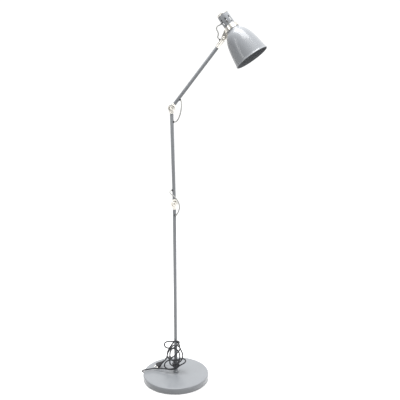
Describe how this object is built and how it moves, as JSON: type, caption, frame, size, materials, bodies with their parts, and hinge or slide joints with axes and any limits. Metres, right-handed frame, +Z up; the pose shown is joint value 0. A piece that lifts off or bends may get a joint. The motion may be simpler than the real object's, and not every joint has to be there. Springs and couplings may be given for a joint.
{
  "type": "pharmacy floor lamp",
  "caption": "Slender floor lamp on a round weighted base, with a jointed pole, a clamped arm and a tilting bell shade with a push switch.",
  "frame": {"origin": "on the floor, at the centre of the base pad, on the axis of the lower pole", "axes": "+Z up along the lower pole; the pole, the arm and the axis of the shade lie in the XZ plane with the arm towards +X; every hinge axis runs along Y, wing knobs on the +Y side"},
  "size_m": [0.5538, 0.3182, 1.6329],
  "materials": {
    "satin_grey_paint": "satin",
    "nickel_plate": "gloss",
    "zinc_steel": "satin",
    "cast_weight": "matte",
    "foam_pad": "matte",
    "fibre_washer": "matte",
    "black_rubber": "matte",
    "black_cord": "satin",
    "grey_lead": "satin",
    "plug_plastic": "matte",
    "switch_plastic": "satin",
    "white_ceramic": "satin",
    "brass_contact": "satin",
    "bulb_opal": "gloss"
  },
  "bodies": {
    "base": {"base_pad": "foam_pad", "base_plate": "zinc_steel", "base_weight": "cast_weight", "base_cover": "satin_grey_paint", "plate_screw_1": "zinc_steel", "plate_screw_2": "zinc_steel", "plate_screw_3": "zinc_steel", "cord_gland": "black_rubber", "lower_tube": "satin_grey_paint", "pole_nut": "zinc_steel", "pole_washer": "zinc_steel", "pole_collar": "satin_grey_paint", "lower_grommet": "black_rubber", "base_lead": "grey_lead", "elbow_lower_knuckle": "nickel_plate", "elbow_bolt": "nickel_plate", "elbow_washer": "fibre_washer", "elbow_loop": "grey_lead", "cord_tail": "black_cord", "cord_bundle": "black_cord", "cord_end": "black_cord", "plug_body": "plug_plastic", "plug_pin_left": "nickel_plate", "plug_pin_right": "nickel_plate"},
    "upper_pole": {"elbow_upper_knuckle": "nickel_plate", "upper_tube": "satin_grey_paint", "upper_grommet_low": "black_rubber", "upper_grommet_high": "black_rubber", "upper_lead": "grey_lead", "shoulder_lower_knuckle": "nickel_plate", "shoulder_bolt": "nickel_plate", "shoulder_washer": "fibre_washer", "shoulder_loop": "grey_lead"},
    "arm": {"shoulder_upper_knuckle": "nickel_plate", "arm_tube": "satin_grey_paint", "arm_grommet_low": "black_rubber", "arm_grommet_high": "black_rubber", "arm_lead": "grey_lead", "head_knuckle": "nickel_plate", "head_bolt": "nickel_plate", "head_washer_front": "fibre_washer", "head_washer_back": "fibre_washer", "head_loop": "grey_lead"},
    "head": {"neck_strap": "nickel_plate", "shade": "satin_grey_paint", "socket_housing": "satin_grey_paint", "rear_cap": "nickel_plate", "switch_body": "switch_plastic", "lampholder": "white_ceramic", "thread_shell": "brass_contact", "holder_carrier": "zinc_steel", "bulb_cap": "brass_contact", "bulb_glass": "bulb_opal", "housing_grommet": "black_rubber", "head_lead": "grey_lead"},
    "elbow_knob": {"elbow_knob": "nickel_plate"},
    "shoulder_knob": {"shoulder_knob": "nickel_plate"},
    "head_knob": {"head_knob": "nickel_plate"},
    "switch_button": {"switch_button": "switch_plastic"}
  },
  "joints": [
    {"name": "elbow", "type": "hinge", "parent": "base", "child": "upper_pole", "pos_m": [0, 0, 0.83], "axis": [0, 1, 0], "range_deg": [-60, 75], "deforming": ["elbow_loop"]},
    {"name": "shoulder", "type": "hinge", "parent": "upper_pole", "child": "arm", "pos_m": [-0.00904, 0, 1.2444], "axis": [0, 1, 0], "range_deg": [-100, 65], "deforming": ["shoulder_loop"]},
    {"name": "head_tilt", "type": "hinge", "parent": "arm", "child": "head", "pos_m": [0.22341, 0, 1.5284], "axis": [0, 1, 0], "range_deg": [-80, 35], "deforming": ["head_loop"]},
    {"name": "elbow_knob_turn", "type": "hinge", "parent": "base", "child": "elbow_knob", "pos_m": [0, 0.0135, 0.83], "axis": [0, 1, 0], "range_deg": [0, 180]},
    {"name": "shoulder_knob_turn", "type": "hinge", "parent": "upper_pole", "child": "shoulder_knob", "pos_m": [-0.00904, 0.0135, 1.2444], "axis": [0, 1, 0], "range_deg": [0, 180]},
    {"name": "head_knob_turn", "type": "hinge", "parent": "arm", "child": "head_knob", "pos_m": [0.22341, 0.0163, 1.5284], "axis": [0, 1, 0], "range_deg": [0, 180]},
    {"name": "switch_press", "type": "slide", "parent": "head", "child": "switch_button", "axis": [0.5962, 0, -0.8028], "range_m": [0, 0.0025], "stiffness_N_per_m": 400, "springref_m": -0.0005}
  ]
}
